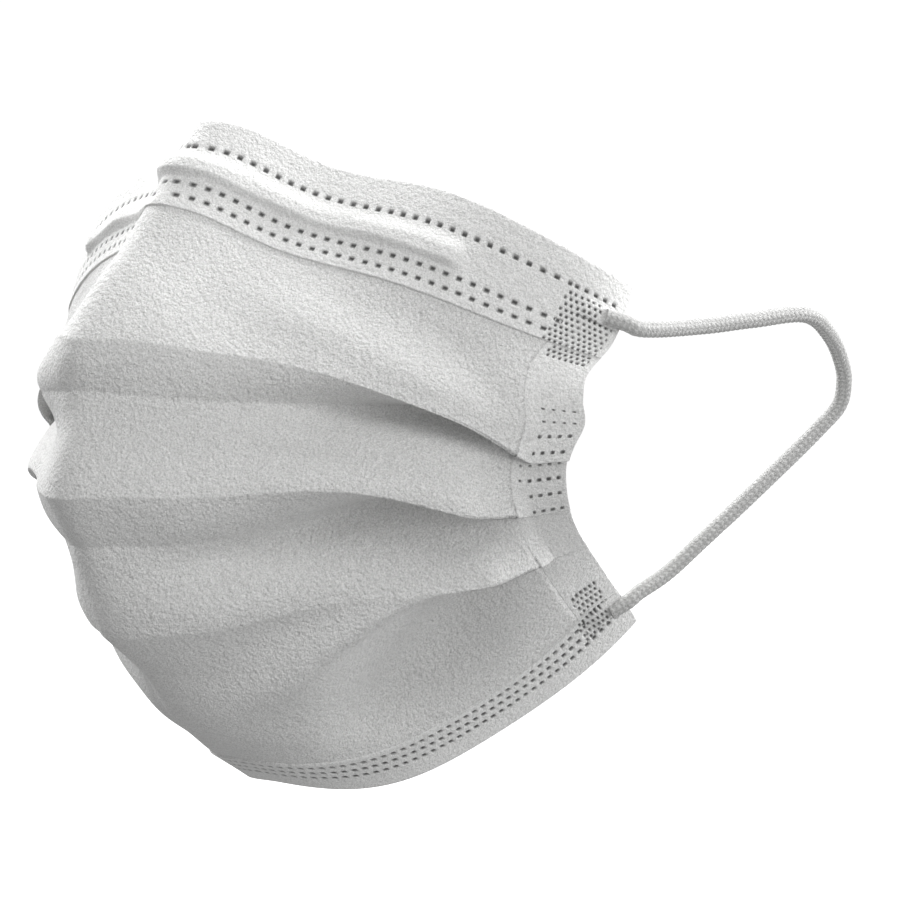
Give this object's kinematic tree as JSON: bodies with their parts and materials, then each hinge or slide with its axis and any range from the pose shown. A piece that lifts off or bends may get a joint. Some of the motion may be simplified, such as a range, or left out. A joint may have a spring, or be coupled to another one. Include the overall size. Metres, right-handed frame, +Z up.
{
  "type": "pleated surgical face mask",
  "caption": "Pleated nonwoven face mask in its worn form, with a nose wire under the top band, opened pleats, welded side strips and knitted ear loops.",
  "frame": {"origin": "on the inner face at the middle of the top edge, where the mask sits on the bridge of the nose", "axes": "+Z up, -Y out of the front of the mask, +X to the wearer's left"},
  "size_m": [0.1572, 0.1336, 0.1239],
  "materials": {
    "cloth": "matte",
    "wire_cover": "matte",
    "elastic": "matte"
  },
  "bodies": {
    "root": {"mask_body": "cloth", "side_weld_left": "cloth", "side_weld_right": "cloth", "top_band": "cloth", "bottom_band": "cloth", "nose_wire": "wire_cover", "loop_end_upper_left": "elastic", "loop_end_lower_left": "elastic", "loop_end_upper_right": "elastic", "loop_end_lower_right": "elastic", "loop_left": "elastic", "loop_right": "elastic"}
  },
  "joints": []
}
